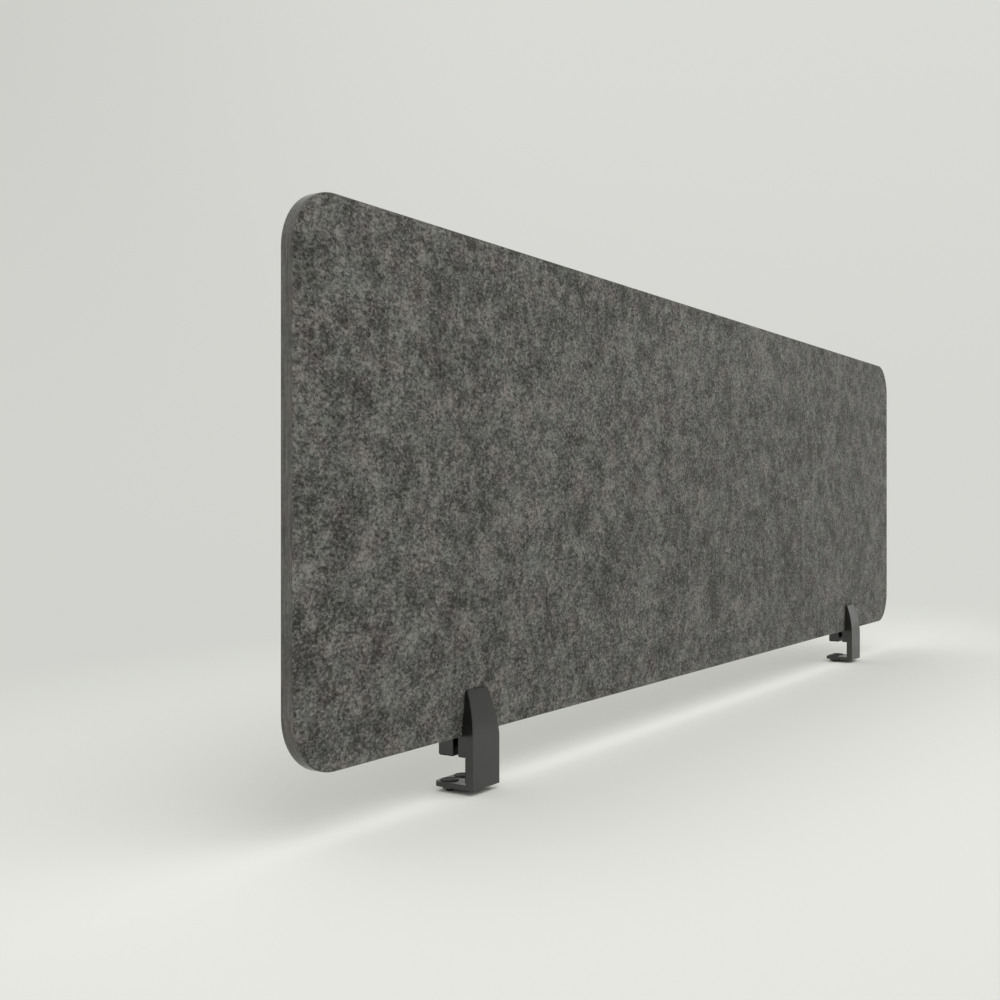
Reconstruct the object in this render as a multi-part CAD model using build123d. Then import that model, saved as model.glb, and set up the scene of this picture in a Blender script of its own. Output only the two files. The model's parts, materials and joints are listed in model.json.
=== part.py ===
from build123d import *
import os

os.makedirs("parts", exist_ok=True)

# An acoustic divider screen for the front edge of a desk: one felted board, held by two identical clamps.
# X runs along the board, Y from the front of the desk to the back, Z up. The origin lies on the desk top,
# at the board's mid-length and in its middle plane. The desk fills the throat of each clamp, below Z zero.
# Lengths are in millimetres.

# Board
panel_length = 1650.0
panel_height = 480.0
panel_thickness = 12.0
panel_corner_radius = 52.0
panel_edge_round = 0.8

# Where the clamps stand, from each end of the board to the middle of the clamp
left_clamp_inset = 257.0
right_clamp_inset = 236.0

# The desk top that the clamps are made for
desk_thickness = 25.0

# Clamp, seen from the front: each side of a fin draws in by the taper, from the board's lower edge to the top
clamp_width = 46.0
fin_taper = 6.0
fin_corner_radius = 2.5
fin_waist_radius = 60.0

# Clamp, seen from the side: the fins' outer faces begin to curve in at the bend drop below the board
seat_height = 20.0
fin_height = 43.5
fin_bend_drop = 8.0
fin_root_thickness = 12.9
fin_tip_thickness = 2.4
leg_thickness = 8.5
edge_round = 0.6

# Base blocks under the board, with the parting groove between the body and the rear jaw, which is a little deeper
ledge_depth = 4.0
parting_gap = 6.0
rear_extra_depth = 1.3

# Lower jaw under the desk, with a threaded boss for each desk screw
jaw_plate_thickness = 5.0
jaw_plate_reach = 38.0
jaw_plate_corner_radius = 6.0
boss_diameter = 14.0
boss_height = 3.0
pad_stand = 1.0

# Rubber pieces
liner_thickness = 0.6
seat_pad_thickness = 1.0
edge_liner_thickness = 1.0
liner_inset = 0.6

# Jaw screws: M6 socket head screws, 25 mm long
jaw_screw_diameter = 6.0
jaw_screw_length = 25.0
jaw_screw_head_diameter = 10.0
jaw_screw_head_height = 6.0
jaw_screw_key = 5.0
jaw_screw_key_depth = 3.0
jaw_screw_side_distance = 9.0
jaw_screw_tip_room = 1.7

# Desk screws: M8 set screws with a dog point
desk_screw_diameter = 8.0
desk_screw_protrusion = 5.0
desk_screw_key = 4.0
desk_screw_key_depth = 4.0
dog_point_diameter = 5.0
dog_point_length = 1.0

# Pressure pads on the tips of the desk screws
pad_diameter = 18.0
pad_thickness = 2.0
pad_drop = 0.8
pad_end_distance = 11.0
pad_edge_round = 0.3

# Clearances
thread_clearance = 0.05
face_clearance = 0.05
head_clearance = 0.5
pad_clearance = 0.3
jaw_clearance = 0.3
screw_chamfer = 0.5

# How far cuts run past the faces that they open
overrun = 1.0

# Faces that meet at less than this many degrees run smoothly into each other
smooth_angle = 10

# How far apart the screws of each pair stand: a desk screw is in the middle of each half of the clamp's width
jaw_screw_spacing = clamp_width - 2 * jaw_screw_side_distance
pad_spacing = clamp_width / 2

# Planes across the depth, worked out from the sizes above: the board's faces lie at plus and minus panel_face
panel_face = panel_thickness / 2
fin_inner = panel_face + liner_thickness
fin_outer = fin_inner + fin_root_thickness
rear_outer = fin_outer + rear_extra_depth
tip_outer = fin_inner + fin_tip_thickness
groove_front = ledge_depth - panel_face
groove_back = groove_front + parting_gap
leg_inner = leg_thickness - fin_outer
desk_edge = leg_inner + edge_liner_thickness
plate_end = leg_inner + jaw_plate_reach
pad_row = plate_end - pad_end_distance

# Levels, from the underside of the lower jaw to the top of the fins
plate_top = -desk_thickness - pad_stand
plate_bottom = plate_top - jaw_plate_thickness
base_bottom = seat_pad_thickness
bend_start = seat_height - fin_bend_drop
fin_top = seat_height + fin_height
jaw_screw_level = (base_bottom + seat_height) / 2


def side_extrusion(outline, width):
    """The solid with this outline, drawn in depth and height, that is centred across the clamp's width."""
    return extrude(make_face(Plane.YZ * outline), amount=width / 2, both=True)


def fin_face(bottom):
    """The clamp's outline from the front, down to this level: straight up to the board, then narrowing."""
    half_width = clamp_width / 2
    half_top = half_width - fin_taper
    left = [(-half_width, bottom), (-half_width, seat_height), (-half_top, fin_top)]
    right = [(-x, z) for x, z in reversed(left)]
    face = make_face(Polyline(*left, *right, close=True))
    face = fillet(face.vertices().group_by(Axis.Y)[-1], fin_corner_radius)
    return fillet(face.vertices().group_by(Axis.Y)[1], fin_waist_radius)


def front_shape(bottom):
    """A bar along the clamp's depth with its outline from the front, which trims the side extrusion."""
    return extrude(Plane.XZ * fin_face(bottom), amount=jaw_plate_reach + fin_outer, both=True)


def is_sharp(edge, faces):
    """True where the two faces beside an edge meet at an angle, and don't run smoothly into each other."""
    middle = edge.position_at(0.5)
    beside = [face.normal_at(middle) for face in faces if edge in face.edges()]
    return len(beside) == 2 and beside[0].get_angle(beside[1]) > smooth_angle


def soften(solid, inner_plane):
    """Rounds the sharp edges of a casting, but not those of its fin's inner face, which the liner covers."""
    faces = solid.faces()
    outer = [edge for edge in solid.edges() if abs(edge.center().Y - inner_plane) > edge_round]
    return fillet([edge for edge in outer if is_sharp(edge, faces)], edge_round)


def rod(diameter, start, end, axis_plane):
    """A round bar along the plane's normal, from start to end."""
    return axis_plane * Pos(0, 0, (start + end) / 2) * Cylinder(diameter / 2, end - start)


def across_width(spacing):
    """The two places of a pair that stands symmetrically across the clamp."""
    return (-spacing / 2, spacing / 2)


def depth_plane(x, z):
    """The plane whose normal runs to the back, through this point of the clamp's front view."""
    return Plane(origin=(x, 0, z), x_dir=(1, 0, 0), z_dir=(0, 1, 0))


def upright_plane(x, y):
    """The plane whose normal runs up, through this point of the clamp's plan."""
    return Plane(origin=(x, y, 0), x_dir=(1, 0, 0), z_dir=(0, 0, 1))


def jaw_screw_seat():
    """Where the underside of a jaw screw's head bears on the rear jaw."""
    return rear_outer - jaw_screw_head_height - face_clearance


def make_panel():
    """The felted board, with its lower edge on the base blocks."""
    face = RectangleRounded(panel_length, panel_height, panel_corner_radius)
    board = extrude(Plane.XZ * face, amount=panel_thickness / 2, both=True)
    board = Pos(0, 0, seat_height + panel_height / 2) * board
    rim = board.faces().sort_by(Axis.Y)
    return fillet(rim[0].edges() + rim[-1].edges(), panel_edge_round)


def make_clamp_body():
    """Front fin, front base block, leg and lower jaw in one piece."""
    outline = (
        TangentArc((-fin_outer, bend_start), (-tip_outer, fin_top), tangent=(0, 1))
        + Polyline(
            (-tip_outer, fin_top),
            (-fin_inner, fin_top),
            (-fin_inner, seat_height),
            (groove_front, seat_height),
            (groove_front, base_bottom),
            (leg_inner, base_bottom),
            (leg_inner, plate_top),
            (plate_end, plate_top),
            (plate_end, plate_bottom),
            (-fin_outer, plate_bottom),
            (-fin_outer, bend_start),
        )
    )
    body = side_extrusion(outline, clamp_width)
    rear_corners = body.edges().filter_by(Axis.Z).group_by(Axis.Y)[-1]
    body = fillet(rear_corners, jaw_plate_corner_radius)
    body = soften(body & front_shape(plate_bottom), -fin_inner)
    tip = jaw_screw_seat() - jaw_screw_length
    for x in across_width(jaw_screw_spacing):
        plane = depth_plane(x, jaw_screw_level)
        bore = jaw_screw_diameter + 2 * thread_clearance
        body -= rod(bore, tip - jaw_screw_tip_room, groove_front + overrun, plane)
    recess = pad_thickness - pad_stand + pad_drop + pad_clearance
    for x in across_width(pad_spacing):
        plane = upright_plane(x, pad_row)
        boss = rod(boss_diameter, plate_bottom - boss_height, plate_top - recess, plane)
        body += fillet(boss.edges().group_by(Axis.Z)[0], edge_round)
        bore = desk_screw_diameter + 2 * thread_clearance
        body -= rod(bore, plate_bottom - boss_height - overrun, plate_top, plane)
        body -= rod(pad_diameter + 2 * pad_clearance, plate_top - recess, plate_top + overrun, plane)
    return body


def make_rear_jaw():
    """Rear base block and rear fin in one piece. It slides back to let the board go."""
    jaw_top = seat_height - jaw_clearance
    outline = (
        TangentArc((rear_outer, bend_start), (tip_outer, fin_top), tangent=(0, 1))
        + Polyline(
            (tip_outer, fin_top),
            (fin_inner, fin_top),
            (fin_inner, jaw_top),
            (groove_back, jaw_top),
            (groove_back, base_bottom),
            (rear_outer, base_bottom),
            (rear_outer, bend_start),
        )
    )
    jaw = side_extrusion(outline, clamp_width)
    jaw = soften(jaw & front_shape(base_bottom), fin_inner)
    for x in across_width(jaw_screw_spacing):
        plane = depth_plane(x, jaw_screw_level)
        seat = jaw_screw_seat() - face_clearance
        jaw -= rod(jaw_screw_diameter + 2 * thread_clearance, groove_back - overrun, seat, plane)
        jaw -= rod(jaw_screw_head_diameter + 2 * head_clearance, seat, rear_outer + overrun, plane)
    return jaw


def make_fin_liner(side):
    """The rubber strip between a fin and the board: side is -1 at the front and 1 at the back."""
    above_seat = Pos(0, fin_top + liner_inset) * Rectangle(2 * clamp_width, 2 * fin_height)
    strip = offset(fin_face(base_bottom), amount=-liner_inset) & above_seat
    liner = extrude(Plane.XZ * strip, amount=liner_thickness / 2, both=True)
    return Pos(0, side * (panel_face + liner_thickness / 2), 0) * liner


def make_seat_pad(front, back):
    """The rubber pad under a base block, from one of these planes to the other."""
    width = clamp_width - 2 * liner_inset
    middle = (front + back) / 2
    return Pos(0, middle, seat_pad_thickness / 2) * Box(width, back - front, seat_pad_thickness)


def make_edge_liner():
    """The rubber pad on the leg, against the desk's front edge."""
    width = clamp_width - 2 * liner_inset
    height = desk_thickness - 2 * liner_inset
    middle = leg_inner + edge_liner_thickness / 2
    return Pos(0, middle, -desk_thickness / 2) * Box(width, edge_liner_thickness, height)


def make_jaw_screw(x):
    """A socket head screw that draws the rear jaw towards the body."""
    plane = depth_plane(x, jaw_screw_level)
    seat = jaw_screw_seat()
    top = seat + jaw_screw_head_height
    shank = rod(jaw_screw_diameter, seat - jaw_screw_length, seat, plane)
    shank = chamfer(shank.edges().group_by(Axis.Y)[0], screw_chamfer)
    head = rod(jaw_screw_head_diameter, seat, top, plane)
    head = chamfer(head.edges().group_by(Axis.Y)[-1], screw_chamfer)
    key = RegularPolygon(jaw_screw_key / 2, 6, major_radius=False)
    socket = extrude(plane * Pos(0, 0, top - jaw_screw_key_depth) * key, amount=jaw_screw_key_depth + overrun)
    return shank + head - socket


def make_desk_screw(x):
    """A set screw with a dog point, turned from below by a hexagon key."""
    plane = upright_plane(x, pad_row)
    bottom = plate_bottom - desk_screw_protrusion
    shoulder = -desk_thickness - pad_thickness - face_clearance
    shank = rod(desk_screw_diameter, bottom, shoulder, plane)
    ends = shank.edges().filter_by(GeomType.CIRCLE)
    shank = chamfer(ends, screw_chamfer)
    point = rod(dog_point_diameter, shoulder, shoulder + dog_point_length, plane)
    key = RegularPolygon(desk_screw_key / 2, 6, major_radius=False)
    socket = extrude(plane * Pos(0, 0, bottom - overrun) * key, amount=desk_screw_key_depth + overrun)
    return shank + point - socket


def make_pressure_pad(x):
    """The disc that presses the desk's underside, with a blind socket for the screw's point."""
    plane = upright_plane(x, pad_row)
    bottom = -desk_thickness - pad_thickness
    disc = rod(pad_diameter, bottom, -desk_thickness, plane)
    disc = fillet(disc.edges().group_by(Axis.Z)[-1], pad_edge_round)
    socket_top = bottom + dog_point_length + face_clearance
    return disc - rod(dog_point_diameter + 2 * thread_clearance, bottom - overrun, socket_top, plane)


def make_clamp(name):
    """Every piece of one clamp, centred across its own width, by node name."""
    pieces = {
        f"{name}_clamp_body": make_clamp_body(),
        f"{name}_rear_jaw": make_rear_jaw(),
        f"{name}_front_fin_liner": make_fin_liner(-1),
        f"{name}_rear_fin_liner": make_fin_liner(1),
        f"{name}_front_seat_pad": make_seat_pad(desk_edge, groove_front - liner_inset),
        f"{name}_rear_seat_pad": make_seat_pad(groove_back + liner_inset, rear_outer - liner_inset),
        f"{name}_edge_liner": make_edge_liner(),
    }
    for number, x in enumerate(across_width(jaw_screw_spacing), start=1):
        pieces[f"{name}_jaw_screw_{number}"] = make_jaw_screw(x)
    for number, x in enumerate(across_width(pad_spacing), start=1):
        pieces[f"{name}_desk_screw_{number}"] = make_desk_screw(x)
        pieces[f"{name}_pressure_pad_{number}"] = make_pressure_pad(x)
    return pieces


clamp_places = {
    "left": left_clamp_inset - panel_length / 2,
    "right": panel_length / 2 - right_clamp_inset,
}

export_step(make_panel(), "parts/acoustic_panel.step")
for clamp_name, place in clamp_places.items():
    for node, piece in make_clamp(clamp_name).items():
        export_step(Pos(place, 0, 0) * piece, f"parts/{node}.step")
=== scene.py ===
import json
import math

import bmesh
import bpy
from mathutils import Matrix, Vector, noise

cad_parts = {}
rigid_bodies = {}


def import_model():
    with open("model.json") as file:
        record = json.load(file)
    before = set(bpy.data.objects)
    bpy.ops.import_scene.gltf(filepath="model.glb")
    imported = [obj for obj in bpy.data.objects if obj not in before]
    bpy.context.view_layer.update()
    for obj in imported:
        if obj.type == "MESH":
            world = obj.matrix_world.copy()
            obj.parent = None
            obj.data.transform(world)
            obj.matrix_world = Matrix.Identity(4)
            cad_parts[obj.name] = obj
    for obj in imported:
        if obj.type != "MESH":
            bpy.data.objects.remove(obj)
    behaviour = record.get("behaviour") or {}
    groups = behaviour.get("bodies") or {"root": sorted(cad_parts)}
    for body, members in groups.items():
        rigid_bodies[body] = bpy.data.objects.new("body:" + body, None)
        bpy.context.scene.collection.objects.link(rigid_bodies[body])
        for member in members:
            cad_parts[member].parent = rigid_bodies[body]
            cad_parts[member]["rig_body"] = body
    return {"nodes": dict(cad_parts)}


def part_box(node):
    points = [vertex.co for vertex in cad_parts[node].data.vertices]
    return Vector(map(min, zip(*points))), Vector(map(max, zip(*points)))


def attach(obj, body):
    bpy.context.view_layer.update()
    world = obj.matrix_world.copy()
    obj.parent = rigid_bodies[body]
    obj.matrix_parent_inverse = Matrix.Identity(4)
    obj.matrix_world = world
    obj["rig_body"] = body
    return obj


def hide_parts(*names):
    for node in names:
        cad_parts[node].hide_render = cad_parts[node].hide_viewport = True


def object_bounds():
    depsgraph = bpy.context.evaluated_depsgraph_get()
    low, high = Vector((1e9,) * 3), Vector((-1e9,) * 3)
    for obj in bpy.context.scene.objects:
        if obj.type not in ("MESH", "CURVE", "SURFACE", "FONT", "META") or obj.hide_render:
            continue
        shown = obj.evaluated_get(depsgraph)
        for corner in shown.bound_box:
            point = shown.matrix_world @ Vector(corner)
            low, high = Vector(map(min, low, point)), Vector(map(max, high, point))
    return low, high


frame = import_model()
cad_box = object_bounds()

# An acoustic divider screen: one felted board held by two desk clamps. Lengths are in metres.
# X runs along the board, Y from its front face to its back, Z up from the level of the desk top.
mm = 0.001
clamps = ("left", "right")

# Camera: where it stands, how far it is turned from +X towards +Y, and its lens on a 36 mm sensor
camera_place = Vector((-1.5479, -0.6802, 0.2435))
camera_heading = math.radians(33.36)
camera_lens = 44.17
camera_sensor = 36.0
camera_shift_up = 0.0023

# Floor: it turns into the wall between two distances from the origin, measured shorter along the board
floor_radius = 60.0
floor_segments = 128
floor_colour = (0.800, 0.808, 0.770)
floor_darker_share = 0.99
floor_tone_size = 0.8
floor_fade = (0.35, 1.2)
floor_fade_stretch = (0.55, 1.0, 0.0)

# Wall, as the camera and gloss see it: low and high, on the left, on the right and past the view's right
wall_left = (0.644, 0.651, 0.616)
wall_right = (0.670, 0.677, 0.641)
wall_upper_left = (0.597, 0.604, 0.570)
wall_upper_right = (0.701, 0.708, 0.672)
wall_far_right = (0.512, 0.504, 0.470)
wall_upper_far_right = (0.360, 0.364, 0.346)
ceiling = (0.330, 0.335, 0.318)

# Where those tones meet, as parts of a direction: how far it points to the view's right, and how far up
wall_low_span = (-0.42, 0.30)
wall_upper_span = (-0.50, 0.05)
wall_far_right_span = (0.52, 0.78)
wall_rise_span = (0.02, 0.40)
ceiling_span = (0.38, 0.55)

# Even light from all round
sky_light = (0.985, 1.0, 0.965)
sky_strength = 0.76

# Soft boxes: name, place, width, height, radiance and whether gloss shows them, all aimed at the board
box_target = Vector((0.0, 0.0, 0.15))
soft_boxes = (
    ("front_right_box", Vector((3.2, -3.0, 1.5)), 4.0, 3.6, 0.30, False),
    ("far_right_box", Vector((5.4, -1.5, 0.4)), 2.6, 2.6, 0.48, True),
    ("front_left_box", Vector((-2.8, -2.8, 2.4)), 2.0, 2.0, 0.9, True),
    ("overhead_box", Vector((-0.6, 0.0, 3.4)), 3.5, 3.5, 0.66, True),
    ("upper_front_box", Vector((-0.2, -1.0, 1.35)), 3.0, 0.8, 0.75, False),
)

# Felt: how far its tone swings each way, and how dark and light that makes it as the eye sees it
felt_tone_swing = 1.4
felt_darkest = 0.51
felt_lightest = 1.49
felt_display_power = 2.1
felt_cool = (0.0840, 0.0888, 0.0812)
felt_warm = (0.1018, 0.0899, 0.0860)
felt_hue_size = 34 * mm
felt_hue_span = (0.30, 0.70)
felt_roughness = 0.95
felt_specular = 0.25
felt_sheen = 0.09
felt_sheen_roughness = 0.45

# Layers of the felt's tone: their weights, the size of their marks, and the strokes' angles in degrees
felt_weights = {"hairs": 3.4, "fibres": 7.2, "speckle": 2.3, "mottle": 2.3, "patches": 1.7, "drift": 0.5}
rim_weights = {"layers": 1.4, "speckle": 1.0, "patches": 0.7}
felt_hair_size = 0.5 * mm
felt_hair_angles = (15, 62, 103, 149)
felt_hair_width_share = 0.09
felt_fibre_size = 2.1 * mm
felt_fibre_angles = (8, 47, 84, 121, 158)
felt_fibre_width_share = 0.38
felt_speckle_size = 3.4 * mm
felt_mottle_size = 12 * mm
felt_patch_size = 48 * mm
felt_drift_size = 230 * mm
felt_grain_stretch = (0.75, 1.0, 1.12)
felt_patch_shift = (0.31, 0.0, 0.17)
felt_stroke_shift = (0.37, 0.0, 0.61)

# How the felt's strokes wander, as the size and the reach of the wandering, and the height of its bumps
felt_fibre_wander = (6 * mm, 4 * mm)
felt_hair_wander = (8 * mm, 2 * mm)
felt_mottle_height = 0.9 * mm
felt_fibre_height = 1.4 * mm
felt_hair_height = 0.5 * mm

# Cut rim of the felt: pressed layers that are drawn out along the rim, and a fuzz that is light at a slant.
# Its level paints the rim's felt lighter than the face's: painted light on the cut rim
rim_layer_size = 1.4 * mm
rim_layer_stretch = (0.05, 1.0, 0.05)
rim_layer_height = 0.7 * mm
rim_speckle_height = 0.6 * mm
# How much lighter the rim's felt is painted than the face's: painted light
rim_painted_light_level = 1.07
rim_sheen = 0.60
rim_sheen_roughness = 0.35

# Powder coat: its tones from dark to light, the range of its roughness, and the size of each mark in it
coat_tones = ((0.0020, 0.0020, 0.0018), (0.0038, 0.0036, 0.0034))
coat_roughness = (0.28, 0.35)
coat_ior = 1.74
coat_peel_size = 0.9 * mm
coat_peel_height = 0.05 * mm
coat_grain_size = 0.25 * mm
coat_grain_height = 0.02 * mm
coat_handled_size = 14 * mm

# Its worn edges: their width, tone and added roughness, and the marks that break them up
coat_edge_width = 0.9 * mm
coat_worn = (0.035, 0.034, 0.032)
coat_worn_share = 0.35
coat_worn_roughness = 0.12
coat_broken_size = 3 * mm

# Blackened steel of the screws, with rubbed edges and turned lines
steel_tones = ((0.030, 0.031, 0.036), (0.060, 0.055, 0.050))
steel_roughness = (0.30, 0.50)
steel_rubbed = (0.30, 0.29, 0.28)
steel_rubbed_share = 0.6
steel_edge_width = 0.25 * mm
steel_stain_size = 2.5 * mm
steel_line_size = 0.5 * mm
steel_line_height = 0.03 * mm
steel_line_stretch = (1.0, 1.0, 0.2)

# Rubber strips and moulded pads
rubber_tones = ((0.010, 0.010, 0.010), (0.022, 0.021, 0.020))
rubber_roughness = (0.68, 0.85)
rubber_specular = 0.35
rubber_skin_size = 0.7 * mm
rubber_skin_height = 0.06 * mm
rubber_bloom_size = 6 * mm
plastic_tones = ((0.012, 0.012, 0.013), (0.021, 0.021, 0.022))
plastic_roughness = (0.42, 0.58)
plastic_grain_size = 0.35 * mm
plastic_grain_height = 0.05 * mm
plastic_flow_size = 5 * mm

# Felted board
board_corner_radius = 52 * mm
board_edge_round = 0.8 * mm
board_round_steps = 4
board_side_steps = 6
board_corner_steps = 14
board_cell = 6 * mm
board_relief = 0.10 * mm
board_relief_sizes = (120 * mm, 45 * mm, 18 * mm)

# Meshes: how near points must be to be joined, to be on a cut and to be on a face
merge_distance = 0.001 * mm
cut_distance = 0.0001 * mm
face_distance = 0.01 * mm

# Screws: the shares of a pitch that a thread's crest and root take, and its depth in pitches
crest_share = 0.16
root_share = 0.25
thread_depth_share = 0.6
rings_per_pitch = 8
jaw_screw_head_height = 6 * mm
jaw_screw_diameter = 6 * mm
jaw_screw_pitch = 1.0 * mm
jaw_screw_thread_length = 18 * mm
jaw_screw_key = 5 * mm
jaw_screw_key_depth = 3 * mm
jaw_screw_points = 120
knurl_count = 30
knurl_depth = 0.25 * mm
desk_screw_pitch = 1.25 * mm
desk_screw_key = 4 * mm
desk_screw_key_depth = 4 * mm
desk_screw_points = 96
dog_point_diameter = 5 * mm
dog_point_length = 1.0 * mm
dog_point_straight_share = 0.7
dog_point_tip_share = 0.8
screw_chamfer = 0.6 * mm
socket_chamfer = 0.3 * mm
head_round = 0.18 * mm
knurl_end = 0.9 * mm
underhead_round = 0.25 * mm

# Pressure pads
pad_points = 72
pad_socket_depth = 1.05 * mm
pad_socket_diameter = 5.1 * mm
pad_socket_mouth = 0.15 * mm
pad_socket_round = 0.1 * mm
pad_ridge_pitch = 1.5 * mm
pad_ridge_shares = (0.30, 0.45, 0.75, 0.90)
pad_ridge_depth = 0.25 * mm
pad_edge_round = 0.3 * mm

# Rubber strips: the grooves in their gripping face
groove_pitch = 2.4 * mm
groove_width = 1.1 * mm
groove_floor_width = 0.5 * mm
groove_depth_share = 0.4


def add_node(tree, kind, inputs=None, **settings):
    """A new node. Each input is a value, or a socket that is linked to it."""
    node = tree.nodes.new(kind)
    for key, value in settings.items():
        setattr(node, key, value)
    for key, value in (inputs or {}).items():
        if isinstance(value, bpy.types.NodeSocket):
            tree.links.new(value, node.inputs[key])
        else:
            node.inputs[key].default_value = value
    return node


def calculate(tree, operation, *values):
    """The result of a Math node."""
    return add_node(tree, "ShaderNodeMath", dict(enumerate(values)), operation=operation).outputs[0]


def blend_colours(tree, share, first, second):
    """The result of a Mix node between two colours, which may be sockets or RGB values."""
    def rgba(colour):
        return colour if isinstance(colour, bpy.types.NodeSocket) else (*colour, 1.0)

    inputs = {0: share, 6: rgba(first), 7: rgba(second)}
    return add_node(tree, "ShaderNodeMix", inputs, data_type="RGBA").outputs[2]


def remap(tree, value, low, high, to_low=0.0, to_high=1.0, smooth=True):
    """The value mapped from one range to another and held inside it."""
    kind = "SMOOTHSTEP" if smooth else "LINEAR"
    inputs = {"Value": value, "From Min": low, "From Max": high, "To Min": to_low, "To Max": to_high}
    return add_node(tree, "ShaderNodeMapRange", inputs, interpolation_type=kind).outputs["Result"]


def object_place(tree):
    """The point on the piece, in metres."""
    return add_node(tree, "ShaderNodeTexCoord").outputs["Object"]


def turned(tree, place, angles=(0.0, 0.0, 0.0), stretch=(1.0, 1.0, 1.0), shift=(0.0, 0.0, 0.0)):
    """The point turned and stretched, so that a texture read at it runs in a direction."""
    inputs = {"Vector": place, "Location": shift, "Rotation": angles, "Scale": stretch}
    return add_node(tree, "ShaderNodeMapping", inputs, vector_type="POINT").outputs["Vector"]


def cloud(tree, place, size, detail=2.0, roughness=0.5):
    """Soft noise with features of this size, from 0 to 1."""
    inputs = {"Vector": place, "Scale": 1.0 / size, "Detail": detail, "Roughness": roughness}
    return add_node(tree, "ShaderNodeTexNoise", inputs, noise_dimensions="3D").outputs[0]


def bump(tree, height, distance, strength=1.0, below=None):
    """A normal from a height, on top of another bump's normal."""
    inputs = {"Height": height, "Distance": distance, "Strength": strength}
    if below is not None:
        inputs["Normal"] = below
    return add_node(tree, "ShaderNodeBump", inputs).outputs["Normal"]


def edge_mask(tree, radius, low, high):
    """1 along the sharp edges of a piece, fading to 0 at this distance from them."""
    rounded = add_node(tree, "ShaderNodeBevel", {"Radius": radius}, samples=4).outputs["Normal"]
    flat = add_node(tree, "ShaderNodeNewGeometry").outputs["Normal"]
    product = add_node(tree, "ShaderNodeVectorMath", {0: rounded, 1: flat}, operation="DOT_PRODUCT")
    turned_away = calculate(tree, "SUBTRACT", 1.0, product.outputs["Value"])
    return remap(tree, turned_away, low, high)


def new_material(name):
    """An empty material with its output, as the tree and the material."""
    material = bpy.data.materials.new(name)
    material.use_nodes = True
    material.node_tree.nodes.clear()
    return material, material.node_tree


def finish_material(tree, **inputs):
    """Adds the shader with these inputs, spaces in their names written as underscores, and the output."""
    named = {key.replace("_", " "): value for key, value in inputs.items()}
    shader = add_node(tree, "ShaderNodeBsdfPrincipled", named)
    add_node(tree, "ShaderNodeOutputMaterial", {"Surface": shader.outputs["BSDF"]})


def summed(tree, layers, weights):
    """The sum of named noises about their middle, each with its weight."""
    total = 0.0
    for name, weight in weights.items():
        centred = calculate(tree, "SUBTRACT", layers[name], 0.5)
        total = calculate(tree, "MULTIPLY_ADD", centred, weight, total)
    return total


def fibre_layer(tree, place, size, width_share, angles):
    """Crossing strokes in the board's plane, at these angles in degrees, each thinner than it is long."""
    strokes = 0.0
    for number, angle in enumerate(angles):
        stretch = (width_share, 1.0, 1.0)
        shift = tuple(number * part for part in felt_stroke_shift)
        along = turned(tree, place, angles=(0.0, math.radians(angle), 0.0))
        along = turned(tree, along, stretch=stretch, shift=shift)
        stroke = cloud(tree, along, size, detail=1.0, roughness=0.6)
        strokes = calculate(tree, "ADD", strokes, stroke)
    return calculate(tree, "DIVIDE", strokes, float(len(angles)))


def warped_place(tree, place, size, reach):
    """The point moved about by soft noise of this size, so that a texture read at it wanders."""
    wander = add_node(tree, "ShaderNodeTexNoise", {"Vector": place, "Scale": 1.0 / size, "Detail": 1.0})
    inputs = {0: wander.outputs["Color"], 1: (0.5, 0.5, 0.5)}
    offset = add_node(tree, "ShaderNodeVectorMath", inputs, operation="SUBTRACT").outputs[0]
    inputs = {0: offset, 1: (reach, reach, reach), 2: place}
    return add_node(tree, "ShaderNodeVectorMath", inputs, operation="MULTIPLY_ADD").outputs[0]


def felt_colour(tree, place, tone, level=1.0):
    """The felt's colour where its tone swings this far from the middle, with patches of a warmer grey."""
    display = remap(tree, tone, -felt_tone_swing, felt_tone_swing, felt_darkest, felt_lightest)
    brightness = calculate(tree, "POWER", display, felt_display_power)
    cool, warm = (tuple(level * value for value in colour) for colour in (felt_cool, felt_warm))
    hue_noise = cloud(tree, place, felt_hue_size, detail=4.0, roughness=0.66)
    warm_share = remap(tree, hue_noise, *felt_hue_span, smooth=False)
    hue = blend_colours(tree, warm_share, cool, warm)
    inputs = {0: hue, "Scale": brightness}
    return add_node(tree, "ShaderNodeVectorMath", inputs, operation="SCALE").outputs[0]


def make_felt():
    """Grey felt: fine hairs over crossing light and dark fibres, speckles, soft mottling and patches."""
    material, tree = new_material("grey_felt")
    place = object_place(tree)
    warped = warped_place(tree, place, *felt_fibre_wander)
    grain = turned(tree, warped, stretch=felt_grain_stretch)
    fibres = fibre_layer(tree, grain, felt_fibre_size, felt_fibre_width_share, felt_fibre_angles)
    swayed = warped_place(tree, place, *felt_hair_wander)
    hairs = fibre_layer(tree, swayed, felt_hair_size, felt_hair_width_share, felt_hair_angles)
    mottle = cloud(tree, warped, felt_mottle_size, detail=2.0, roughness=0.6)
    moved = turned(tree, place, shift=felt_patch_shift)
    layers = {
        "hairs": hairs,
        "fibres": fibres,
        "speckle": cloud(tree, grain, felt_speckle_size, detail=2.0, roughness=0.7),
        "mottle": mottle,
        "patches": cloud(tree, moved, felt_patch_size, detail=3.0, roughness=0.55),
        "drift": cloud(tree, moved, felt_drift_size, detail=1.0),
    }
    tone = summed(tree, layers, felt_weights)
    coarse = bump(tree, mottle, felt_mottle_height, strength=0.35)
    woolly = bump(tree, fibres, felt_fibre_height, strength=0.55, below=coarse)
    finish_material(
        tree,
        Base_Color=felt_colour(tree, place, tone),
        Roughness=felt_roughness,
        Specular_IOR_Level=felt_specular,
        Sheen_Weight=felt_sheen,
        Sheen_Roughness=felt_sheen_roughness,
        Normal=bump(tree, hairs, felt_hair_height, strength=0.5, below=woolly),
    )
    return material


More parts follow.
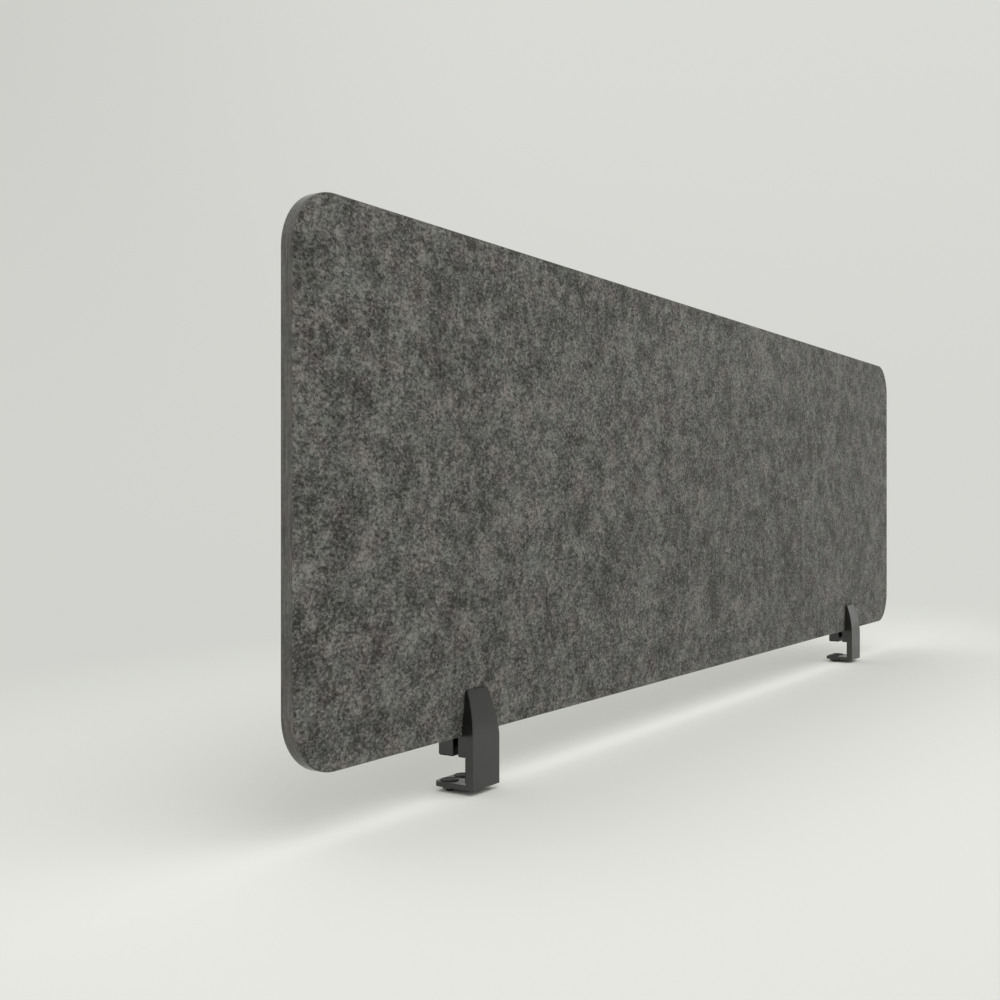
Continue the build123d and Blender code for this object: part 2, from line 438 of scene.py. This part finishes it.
def make_felt_rim():
    """The board's cut rim: fine pressed layers that run round it, and fuzz that is light at a slant. Its
    felt is painted lighter than the face's, as painted light.
    """
    material, tree = new_material("cut_grey_felt")
    place = object_place(tree)
    drawn_out = turned(tree, place, stretch=rim_layer_stretch)
    layers = {
        "layers": cloud(tree, drawn_out, rim_layer_size, detail=2.0, roughness=0.6),
        "speckle": cloud(tree, place, felt_speckle_size, detail=2.0, roughness=0.7),
        "patches": cloud(tree, place, felt_patch_size, detail=3.0, roughness=0.55),
    }
    tone = summed(tree, layers, rim_weights)
    coarse = bump(tree, layers["speckle"], rim_speckle_height, strength=0.3)
    finish_material(
        tree,
        # The rim's felt is painted lighter than the face's: painted light on the cut rim
        Base_Color=felt_colour(tree, place, tone, level=rim_painted_light_level),
        Roughness=felt_roughness,
        Specular_IOR_Level=felt_specular,
        Sheen_Weight=rim_sheen,
        Sheen_Roughness=rim_sheen_roughness,
        Normal=bump(tree, layers["layers"], rim_layer_height, strength=0.5, below=coarse),
    )
    return material


def make_powder_coat():
    """Black satin powder coat: a fine orange peel, and edges worn a little lighter and rougher."""
    material, tree = new_material("black_powder_coat")
    place = object_place(tree)
    peel = cloud(tree, place, coat_peel_size, detail=2.0, roughness=0.5)
    grain = cloud(tree, place, coat_grain_size, detail=1.0)
    handled = cloud(tree, place, coat_handled_size, detail=3.0, roughness=0.6)
    broken = cloud(tree, place, coat_broken_size, detail=4.0, roughness=0.7)
    edge = edge_mask(tree, coat_edge_width, 0.01, 0.16)
    wear = calculate(tree, "MULTIPLY", edge, remap(tree, broken, 0.42, 0.66))
    tint = blend_colours(tree, handled, *coat_tones)
    bare = calculate(tree, "MULTIPLY", wear, coat_worn_share)
    colour = blend_colours(tree, bare, tint, coat_worn)
    gloss = remap(tree, handled, 0.3, 0.7, *coat_roughness)
    roughness = calculate(tree, "MULTIPLY_ADD", wear, coat_worn_roughness, gloss)
    coarse = bump(tree, peel, coat_peel_height, strength=0.5)
    normal = bump(tree, grain, coat_grain_height, strength=0.5, below=coarse)
    finish_material(tree, Base_Color=colour, Roughness=roughness, IOR=coat_ior, Normal=normal)
    return material


def make_black_steel():
    """Blackened steel of the screws: turned lines, and thread crests and edges rubbed bright."""
    material, tree = new_material("blackened_steel")
    place = object_place(tree)
    drawn_out = turned(tree, place, stretch=steel_line_stretch)
    lines = cloud(tree, drawn_out, steel_line_size, detail=3.0, roughness=0.6)
    stain = cloud(tree, place, steel_stain_size, detail=3.0, roughness=0.6)
    edge = edge_mask(tree, steel_edge_width, 0.02, 0.30)
    rubbed = calculate(tree, "MULTIPLY", edge, remap(tree, stain, 0.35, 0.65))
    tint = blend_colours(tree, stain, *steel_tones)
    bright = calculate(tree, "MULTIPLY", rubbed, steel_rubbed_share)
    colour = blend_colours(tree, bright, tint, steel_rubbed)
    roughness = remap(tree, lines, 0.25, 0.75, *steel_roughness)
    normal = bump(tree, lines, steel_line_height, strength=0.5)
    finish_material(tree, Base_Color=colour, Metallic=1.0, Roughness=roughness, Normal=normal)
    return material


def make_rubber():
    """Matt black rubber with a fine leathery skin and a dusty bloom."""
    material, tree = new_material("black_rubber")
    place = object_place(tree)
    inputs = {"Vector": place, "Scale": 1.0 / rubber_skin_size}
    skin = add_node(tree, "ShaderNodeTexVoronoi", inputs).outputs["Distance"]
    bloom = cloud(tree, place, rubber_bloom_size, detail=3.0, roughness=0.65)
    colour = blend_colours(tree, remap(tree, bloom, 0.4, 0.7), *rubber_tones)
    finish_material(
        tree,
        Base_Color=colour,
        Roughness=remap(tree, bloom, 0.3, 0.7, *rubber_roughness),
        Specular_IOR_Level=rubber_specular,
        Normal=bump(tree, skin, rubber_skin_height, strength=0.5),
    )
    return material


def make_pad_plastic():
    """Moulded black plastic of the pressure pads, with a fine even grain."""
    material, tree = new_material("moulded_black_plastic")
    place = object_place(tree)
    grain = cloud(tree, place, plastic_grain_size, detail=3.0, roughness=0.6)
    flow = cloud(tree, place, plastic_flow_size, detail=2.0)
    colour = blend_colours(tree, flow, *plastic_tones)
    roughness = remap(tree, grain, 0.3, 0.7, *plastic_roughness)
    normal = bump(tree, grain, plastic_grain_height, strength=0.6)
    finish_material(tree, Base_Color=colour, Roughness=roughness, Normal=normal)
    return material


def looked_at(tree):
    """1 for the rays that show a thing itself: those of the camera, of gloss and of glass."""
    rays = add_node(tree, "ShaderNodeLightPath").outputs
    seen = calculate(tree, "MAXIMUM", rays["Is Camera Ray"], rays["Is Glossy Ray"])
    return calculate(tree, "MAXIMUM", seen, rays["Is Transmission Ray"])


def wall_colour(tree, direction):
    """The pale wall all round, a little darker on the left and on the far right, and a grey ceiling."""
    to_right = (math.sin(camera_heading), -math.cos(camera_heading), 0.0)
    inputs = {0: direction, 1: to_right}
    sideways = add_node(tree, "ShaderNodeVectorMath", inputs, operation="DOT_PRODUCT").outputs["Value"]
    upward = add_node(tree, "ShaderNodeSeparateXYZ", {"Vector": direction}).outputs["Z"]
    low = blend_colours(tree, remap(tree, sideways, *wall_low_span), wall_left, wall_right)
    upper = blend_colours(tree, remap(tree, sideways, *wall_upper_span), wall_upper_left, wall_upper_right)
    far_right = remap(tree, sideways, *wall_far_right_span)
    low = blend_colours(tree, far_right, low, wall_far_right)
    upper = blend_colours(tree, far_right, upper, wall_upper_far_right)
    wall = blend_colours(tree, remap(tree, upward, *wall_rise_span), low, upper)
    return blend_colours(tree, remap(tree, upward, *ceiling_span), wall, ceiling)


def make_floor_paint():
    """Plain pale floor that runs into the wall far from the object, and that is clear from below."""
    material, tree = new_material("pale_floor")
    place = object_place(tree)
    tone = cloud(tree, place, floor_tone_size, detail=2.0)
    darker = tuple(floor_darker_share * value for value in floor_colour)
    colour = blend_colours(tree, tone, darker, floor_colour)
    near = add_node(tree, "ShaderNodeBsdfDiffuse", {"Color": colour})
    direction = add_node(tree, "ShaderNodeVectorMath", {0: place}, operation="NORMALIZE").outputs[0]
    far = add_node(tree, "ShaderNodeEmission", {"Color": wall_colour(tree, direction), "Strength": 1.0})
    inputs = {0: place, 1: floor_fade_stretch}
    stretched = add_node(tree, "ShaderNodeVectorMath", inputs, operation="MULTIPLY")
    distance = add_node(tree, "ShaderNodeVectorMath", {0: stretched.outputs[0]}, operation="LENGTH")
    fade = remap(tree, distance.outputs["Value"], *floor_fade)
    share = calculate(tree, "MULTIPLY", fade, looked_at(tree))
    mixed = add_node(tree, "ShaderNodeMixShader", {0: share, 1: near.outputs[0], 2: far.outputs[0]})
    below = add_node(tree, "ShaderNodeNewGeometry").outputs["Backfacing"]
    clear = add_node(tree, "ShaderNodeBsdfTransparent")
    one_sided = add_node(tree, "ShaderNodeMixShader", {0: below, 1: mixed.outputs[0], 2: clear.outputs[0]})
    add_node(tree, "ShaderNodeOutputMaterial", {"Surface": one_sided.outputs[0]})
    return material


def new_piece(name, bm, material, smooth_angle=35):
    """An object from a bmesh, shaded smooth except at edges sharper than the angle in degrees."""
    mesh = bpy.data.meshes.new(name)
    bmesh.ops.recalc_face_normals(bm, faces=bm.faces)
    bm.to_mesh(mesh)
    bm.free()
    mesh.materials.append(material)
    mesh.shade_smooth()
    mesh.set_sharp_from_angle(angle=math.radians(smooth_angle))
    piece = bpy.data.objects.new(name, mesh)
    bpy.context.scene.collection.objects.link(piece)
    return piece


def stand_for(piece, node):
    """The piece takes the place of a node, on the node's own body."""
    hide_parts(node)
    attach(piece, frame["nodes"][node]["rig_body"])


def skin_rings(rings):
    """A bmesh that runs through rings of equally many points and closes its ends at their middles."""
    bm = bmesh.new()
    loops = [[bm.verts.new(point) for point in ring] for ring in rings]
    count = len(loops[0])
    for lower, upper in zip(loops, loops[1:]):
        for i in range(count):
            k = (i + 1) % count
            bm.faces.new((lower[i], lower[k], upper[k], upper[i]))
    for loop in (loops[0], loops[-1]):
        middle = bm.verts.new(sum((vert.co for vert in loop), Vector()) / count)
        for i in range(count):
            bm.faces.new((loop[i], loop[(i + 1) % count], middle))
    return bm


def circle(count, radius, height, wave=None):
    """Points round the Z axis. The wave, a function of the angle, is taken off the radius."""
    points = []
    for i in range(count):
        angle = 2 * math.pi * i / count
        reach = radius - (wave(angle) if wave else 0.0)
        points.append(Vector((reach * math.cos(angle), reach * math.sin(angle), height)))
    return points


def hexagon(count, across_flats, height):
    """Points on a hexagon round the Z axis, at the same angles as a circle's."""
    points = []
    for i in range(count):
        angle = 2 * math.pi * i / count
        from_flat = (angle + math.pi / 6) % (math.pi / 3) - math.pi / 6
        reach = across_flats / 2 / math.cos(from_flat)
        points.append(Vector((reach * math.cos(angle), reach * math.sin(angle), height)))
    return points


def thread_rings(count, radius, start, end, pitch):
    """Rings along a screw thread that runs out into a chamfer at its start and end."""
    steps = max(2, round((end - start) / pitch * rings_per_pitch))
    depth = thread_depth_share * pitch
    rings = []
    for step in range(steps + 1):
        height = start + (end - start) * step / steps
        from_end = min(height - start, end - height)
        limit = min(0.0, from_end - screw_chamfer)

        def groove(angle, height=height, limit=limit):
            phase = (height / pitch - angle / (2 * math.pi)) % 1.0
            from_crest = abs(2 * phase - 1)
            flank = (from_crest - crest_share) / (1 - crest_share - root_share)
            return max(depth * min(1.0, max(0.0, flank)), -limit)

        rings.append(circle(count, radius, height, groove))
    return rings


def socket_rings(count, across_flats, face, depth, away):
    """Rings from a screw's end face into its hexagon socket. Away is 1 where the face looks along +Z."""
    mouth = across_flats + 2 * socket_chamfer
    return [
        circle(count, mouth / math.sqrt(3) + socket_chamfer, face),
        hexagon(count, mouth, face),
        hexagon(count, across_flats, face - away * socket_chamfer),
        hexagon(count, across_flats, face - away * depth),
        circle(count, across_flats / 4, face - away * (depth + across_flats / 6)),
    ]


def place_along(bm, origin, axis):
    """Moves a bmesh so that its Z axis runs along this direction from this point."""
    turn = Vector((0, 0, 1)).rotation_difference(axis).to_matrix().to_4x4()
    bmesh.ops.transform(bm, matrix=Matrix.Translation(origin) @ turn, verts=bm.verts)


def make_jaw_screw(node, steel):
    """A socket head screw: threaded shank, plain neck, knurled head and hexagon socket."""
    low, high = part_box(node)
    length = high.y - low.y
    seat = length - jaw_screw_head_height
    radius = jaw_screw_diameter / 2
    head = (high.x - low.x) / 2
    count = jaw_screw_points

    def knurl(angle):
        return knurl_depth * (0.5 - 0.5 * math.cos(knurl_count * angle))

    rings = thread_rings(count, radius, 0.0, jaw_screw_thread_length, jaw_screw_pitch)
    rings += [
        circle(count, radius, jaw_screw_thread_length + screw_chamfer),
        circle(count, radius, seat - underhead_round),
        circle(count, radius + underhead_round, seat),
        circle(count, head - screw_chamfer, seat),
        circle(count, head, seat + screw_chamfer, knurl),
        circle(count, head, length - knurl_end, knurl),
        circle(count, head, length - screw_chamfer),
        circle(count, head - head_round, length - head_round),
        circle(count, head - screw_chamfer, length),
    ]
    rings += socket_rings(count, jaw_screw_key, length, jaw_screw_key_depth, 1)
    bm = skin_rings(rings)
    place_along(bm, Vector(((low.x + high.x) / 2, low.y, (low.z + high.z) / 2)), Vector((0, 1, 0)))
    stand_for(new_piece(node + "_threaded", bm, steel), node)


def make_desk_screw(node, steel):
    """A set screw with a dog point on top and a hexagon socket below."""
    low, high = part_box(node)
    shoulder = high.z - low.z - dog_point_length
    radius = (high.x - low.x) / 2
    count = desk_screw_points
    rings = socket_rings(count, desk_screw_key, 0.0, desk_screw_key_depth, -1)[::-1]
    rings += thread_rings(count, radius, 0.0, shoulder, desk_screw_pitch)
    rings += [
        circle(count, dog_point_diameter / 2, shoulder),
        circle(count, dog_point_diameter / 2, shoulder + dog_point_straight_share * dog_point_length),
        circle(count, dog_point_tip_share * dog_point_diameter / 2, shoulder + dog_point_length),
    ]
    bm = skin_rings(rings)
    place_along(bm, Vector(((low.x + high.x) / 2, (low.y + high.y) / 2, low.z)), Vector((0, 0, 1)))
    stand_for(new_piece(node + "_threaded", bm, steel), node)


def make_pressure_pad(node, plastic):
    """A disc with concentric gripping ridges on top and a blind socket below."""
    low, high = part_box(node)
    top = high.z - low.z
    radius = (high.x - low.x) / 2
    socket = pad_socket_diameter / 2
    profile = [
        (0.7 * socket, pad_socket_depth),
        (socket, pad_socket_depth - pad_socket_round),
        (socket, pad_socket_mouth),
        (socket + pad_socket_mouth, 0.0),
        (radius - pad_edge_round, 0.0),
        (radius, pad_edge_round),
        (radius, top - pad_edge_round),
        (radius - pad_edge_round, top),
    ]
    ridges = int((radius - 2 * pad_edge_round) / pad_ridge_pitch) - 1
    valley_heights = (top, top - pad_ridge_depth, top - pad_ridge_depth, top)
    for ridge in range(ridges):
        outer = radius - 2 * pad_edge_round - ridge * pad_ridge_pitch
        for share, height in zip(pad_ridge_shares, valley_heights):
            profile.append((outer - share * pad_ridge_pitch, height))
    bm = skin_rings([circle(pad_points, reach, height) for reach, height in profile])
    place_along(bm, Vector(((low.x + high.x) / 2, (low.y + high.y) / 2, low.z)), Vector((0, 0, 1)))
    stand_for(new_piece(node + "_ridged", bm, plastic), node)


def make_grooved_strip(node, cut_axis, face_axis, face_side, rubber):
    """A rubber strip with the node's outline and V-shaped grooves, across cut_axis, in one of its faces."""
    low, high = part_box(node)
    bm = bmesh.new()
    bm.from_mesh(frame["nodes"][node].data)
    bmesh.ops.remove_doubles(bm, verts=bm.verts, dist=merge_distance)
    bmesh.ops.dissolve_limit(bm, angle_limit=math.radians(1), verts=bm.verts, edges=bm.edges)
    face = high[face_axis] if face_side > 0 else low[face_axis]
    depth = groove_depth_share * (high[face_axis] - low[face_axis])
    span = high[cut_axis] - low[cut_axis]
    count = int((span - groove_width) / groove_pitch)
    first = low[cut_axis] + (span - (count - 1) * groove_pitch) / 2
    normal = Vector((0.0, 0.0, 0.0))
    normal[cut_axis] = 1.0
    for number in range(count):
        middle = first + number * groove_pitch
        for reach in (-groove_width, -groove_floor_width, groove_floor_width, groove_width):
            point = normal * (middle + reach / 2)
            parts = bm.verts[:] + bm.edges[:] + bm.faces[:]
            bmesh.ops.bisect_plane(bm, geom=parts, dist=cut_distance, plane_co=point, plane_no=normal)
        for vert in bm.verts:
            on_floor = abs(vert.co[cut_axis] - middle) < groove_floor_width / 2 + face_distance
            if on_floor and abs(vert.co[face_axis] - face) < face_distance:
                vert.co[face_axis] -= face_side * depth
    stand_for(new_piece(node + "_grooved", bm, rubber, smooth_angle=20), node)


def board_columns(half_length):
    """The places of the grid's columns along the board, as shares of a row's half length."""
    count = round(2 * half_length / board_cell)
    return [2 * i / count - 1 for i in range(count + 1)]


def board_rows(half_height, radius):
    """Each row's height from the board's middle, and how much shorter a rounded corner makes it."""
    straight = half_height - radius
    arcs = []
    for step in range(board_corner_steps):
        angle = math.pi / 2 * step / board_corner_steps
        arcs.append((straight + radius * math.cos(angle), radius * (1 - math.sin(angle))))
    count = round(2 * straight / board_cell)
    middle = [(straight * (1 - 2 * i / count), 0.0) for i in range(count + 1)]
    lower = [(-height, inset) for height, inset in reversed(arcs)]
    return arcs + middle + lower


def felt_relief(x, z, side):
    """How far the felt swells out at this place of a face."""
    height = 0.0
    for number, size in enumerate(board_relief_sizes):
        height += noise.noise(Vector((x / size, 7.3 * side + 3.1 * number, z / size))) / (number + 1)
    return board_relief * height


def outward(point, half_length, half_height, radius):
    """The direction out of the board's rounded outline at this point on it."""
    x_over = max(0.0, abs(point.x) - (half_length - radius))
    z_over = max(0.0, abs(point.z) - (half_height - radius))
    return Vector((math.copysign(x_over, point.x), 0.0, math.copysign(z_over, point.z))).normalized()


def felt_face(bm, rows, columns, half, side):
    """One face of the board, as the rows of its vertices. Side is -1 for the front and 1 for the back."""
    grid = []
    for r, (height, inset) in enumerate(rows):
        line = []
        for c, share in enumerate(columns):
            x = share * (half.x - inset)
            on_rim = r in (0, len(rows) - 1) or c in (0, len(columns) - 1)
            swell = 0.0 if on_rim else felt_relief(x, height, side)
            line.append(bm.verts.new((x, side * (half.y + swell), height)))
        grid.append(line)
    for upper, lower in zip(grid, grid[1:]):
        for c in range(len(columns) - 1):
            bm.faces.new((upper[c], upper[c + 1], lower[c + 1], lower[c]))
    return grid


def board_edge(bm, front, back, half, radius):
    """Bands of faces from the front rim round the board's edge to the back rim, in its second finish."""
    rings = [front]
    for depth, reach in edge_profile(half.y):
        ring = []
        for vert in front:
            direction = outward(vert.co, half.x, half.z, radius)
            ring.append(bm.verts.new(vert.co + direction * reach + Vector((0.0, depth + half.y, 0.0))))
        rings.append(ring)
    rings.append(back)
    for lower, upper in zip(rings, rings[1:]):
        for i in range(len(lower)):
            k = (i + 1) % len(lower)
            band = bm.faces.new((lower[i], lower[k], upper[k], upper[i]))
            band.material_index = 1


def rim_of(grid):
    """The vertices round a grid's rim, in order."""
    top = grid[0]
    right = [line[-1] for line in grid[1:-1]]
    bottom = grid[-1][::-1]
    left = [line[0] for line in grid[1:-1]][::-1]
    return top + right + bottom + left


def edge_profile(half_thickness):
    """Depth and outward reach of the rings between the board's faces: a round, the flat rim, a round."""
    first = []
    for step in range(1, board_round_steps + 1):
        angle = math.pi / 2 * step / board_round_steps
        depth = -half_thickness + board_edge_round * (1 - math.cos(angle))
        first.append((depth, board_edge_round * math.sin(angle)))
    flat = half_thickness - board_edge_round
    middle = [(flat * (2 * i / board_side_steps - 1), board_edge_round) for i in range(1, board_side_steps)]
    last = [(-depth, reach) for depth, reach in reversed(first)]
    return first + middle + last


def make_felt_board(felt, cut_felt):
    """The board as a fine mesh: two gently uneven felt faces, rounded edges and a flat cut rim."""
    node = "acoustic_panel"
    low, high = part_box(node)
    half = (high - low) / 2 - Vector((board_edge_round, 0.0, board_edge_round))
    radius = board_corner_radius - board_edge_round
    rows = board_rows(half.z, radius)
    columns = board_columns(half.x)
    bm = bmesh.new()
    front, back = (rim_of(felt_face(bm, rows, columns, half, side)) for side in (-1, 1))
    board_edge(bm, front, back, half, radius)
    bmesh.ops.translate(bm, vec=(low + high) / 2, verts=bm.verts)
    board = new_piece("felt_board", bm, felt, smooth_angle=60)
    board.data.materials.append(cut_felt)
    stand_for(board, node)


def paint(node, material):
    """Gives a node of the frame its finish."""
    for slot in frame["nodes"][node].material_slots:
        slot.material = material


def dress_clamp(name, coat, steel, rubber, plastic):
    """Every piece of one clamp."""
    paint(f"{name}_clamp_body", coat)
    paint(f"{name}_rear_jaw", coat)
    for number in (1, 2):
        make_jaw_screw(f"{name}_jaw_screw_{number}", steel)
        make_desk_screw(f"{name}_desk_screw_{number}", steel)
        make_pressure_pad(f"{name}_pressure_pad_{number}", plastic)
    x_axis, y_axis, z_axis = range(3)
    make_grooved_strip(f"{name}_front_fin_liner", z_axis, y_axis, 1, rubber)
    make_grooved_strip(f"{name}_rear_fin_liner", z_axis, y_axis, -1, rubber)
    make_grooved_strip(f"{name}_edge_liner", z_axis, y_axis, 1, rubber)
    make_grooved_strip(f"{name}_front_seat_pad", x_axis, z_axis, -1, rubber)
    make_grooved_strip(f"{name}_rear_seat_pad", x_axis, z_axis, -1, rubber)


def make_floor():
    """A large round floor at the object's lowest point."""
    bm = bmesh.new()
    bmesh.ops.create_circle(bm, cap_ends=True, segments=floor_segments, radius=floor_radius)
    floor = new_piece("floor", bm, make_floor_paint())
    floor.location.z = cad_box[0].z


def make_surroundings():
    """Even sky light, and the pale wall for what the camera or a glossy surface sees."""
    world = bpy.data.worlds.new("studio")
    bpy.context.scene.world = world
    world.use_nodes = True
    tree = world.node_tree
    tree.nodes.clear()
    direction = add_node(tree, "ShaderNodeTexCoord").outputs["Generated"]
    light = add_node(tree, "ShaderNodeBackground", {"Color": (*sky_light, 1.0), "Strength": sky_strength})
    shown = add_node(tree, "ShaderNodeBackground", {"Color": wall_colour(tree, direction), "Strength": 1.0})
    inputs = {0: looked_at(tree), 1: light.outputs[0], 2: shown.outputs[0]}
    mixed = add_node(tree, "ShaderNodeMixShader", inputs)
    add_node(tree, "ShaderNodeOutputWorld", {"Surface": mixed.outputs[0]})


def make_soft_box(name, place, width, height, radiance, in_gloss):
    """A large area lamp of this radiance."""
    lamp = bpy.data.lights.new(name, "AREA")
    lamp.shape = "RECTANGLE"
    lamp.size = width
    lamp.size_y = height
    lamp.energy = radiance * math.pi * width * height
    item = bpy.data.objects.new(name, lamp)
    item.location = place
    item.rotation_euler = (box_target - place).to_track_quat("-Z", "Y").to_euler()
    item.visible_camera = False
    item.visible_glossy = in_gloss
    bpy.context.scene.collection.objects.link(item)


def make_camera():
    """The photograph's view."""
    data = bpy.data.cameras.new("camera")
    data.sensor_width = camera_sensor
    data.lens = camera_lens
    data.shift_y = camera_shift_up
    item = bpy.data.objects.new("camera", data)
    item.location = camera_place
    forward = Vector((math.cos(camera_heading), math.sin(camera_heading), 0.0))
    item.rotation_euler = forward.to_track_quat("-Z", "Y").to_euler()
    bpy.context.scene.collection.objects.link(item)
    bpy.context.scene.camera = item


coat = make_powder_coat()
steel = make_black_steel()
rubber = make_rubber()
plastic = make_pad_plastic()
make_felt_board(make_felt(), make_felt_rim())
for clamp in clamps:
    dress_clamp(clamp, coat, steel, rubber, plastic)
make_floor()
make_surroundings()
for box in soft_boxes:
    make_soft_box(*box)
make_camera()
bpy.context.scene.view_settings.view_transform = "Standard"
